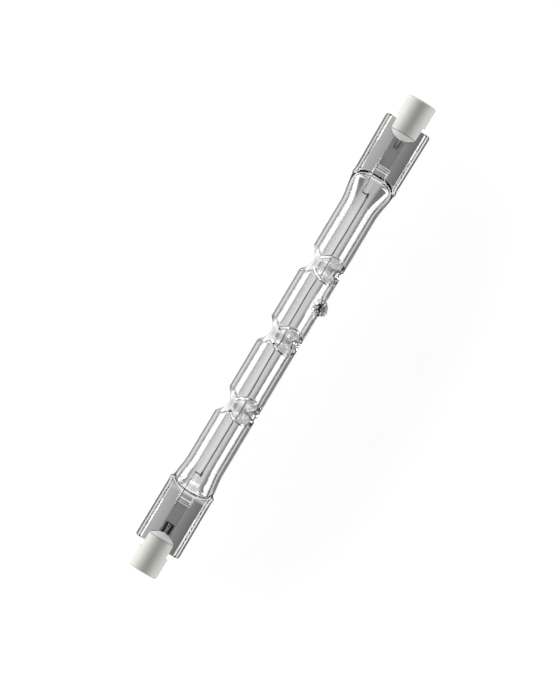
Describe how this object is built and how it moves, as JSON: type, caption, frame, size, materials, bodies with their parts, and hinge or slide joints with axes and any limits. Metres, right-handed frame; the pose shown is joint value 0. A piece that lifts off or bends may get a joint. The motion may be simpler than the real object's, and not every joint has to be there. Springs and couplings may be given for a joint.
{
  "type": "linear halogen bulb",
  "caption": "Double-ended linear halogen lamp: clear quartz tube with rings of dents, flat pinch seals and slotted ceramic end caps.",
  "frame": {"origin": "middle of the lamp on its axis", "axes": "+X along the lamp, +Z square to the flat face of the pinch seals, +Y across the pinch seals, away from the exhaust tip"},
  "size_m": [0.1176, 0.0112, 0.0087],
  "materials": {
    "quartz": "clear blown quartz, polished",
    "tungsten": "drawn wire, dark grey",
    "molybdenum": "rolled foil and drawn wire, grey",
    "steatite": "fired, matt",
    "cement": "set cement, slightly rough",
    "contact_metal": "nickel-plated, satin"
  },
  "bodies": {
    "root": {"quartz_envelope": "quartz", "filament_coil": "tungsten", "inner_lead_left": "molybdenum", "outer_lead_left": "molybdenum", "seal_foil_left": "molybdenum", "ceramic_cap_left": "steatite", "cap_cement_left": "cement", "contact_button_left": "contact_metal", "inner_lead_right": "molybdenum", "outer_lead_right": "molybdenum", "seal_foil_right": "molybdenum", "ceramic_cap_right": "steatite", "cap_cement_right": "cement", "contact_button_right": "contact_metal"}
  },
  "joints": []
}
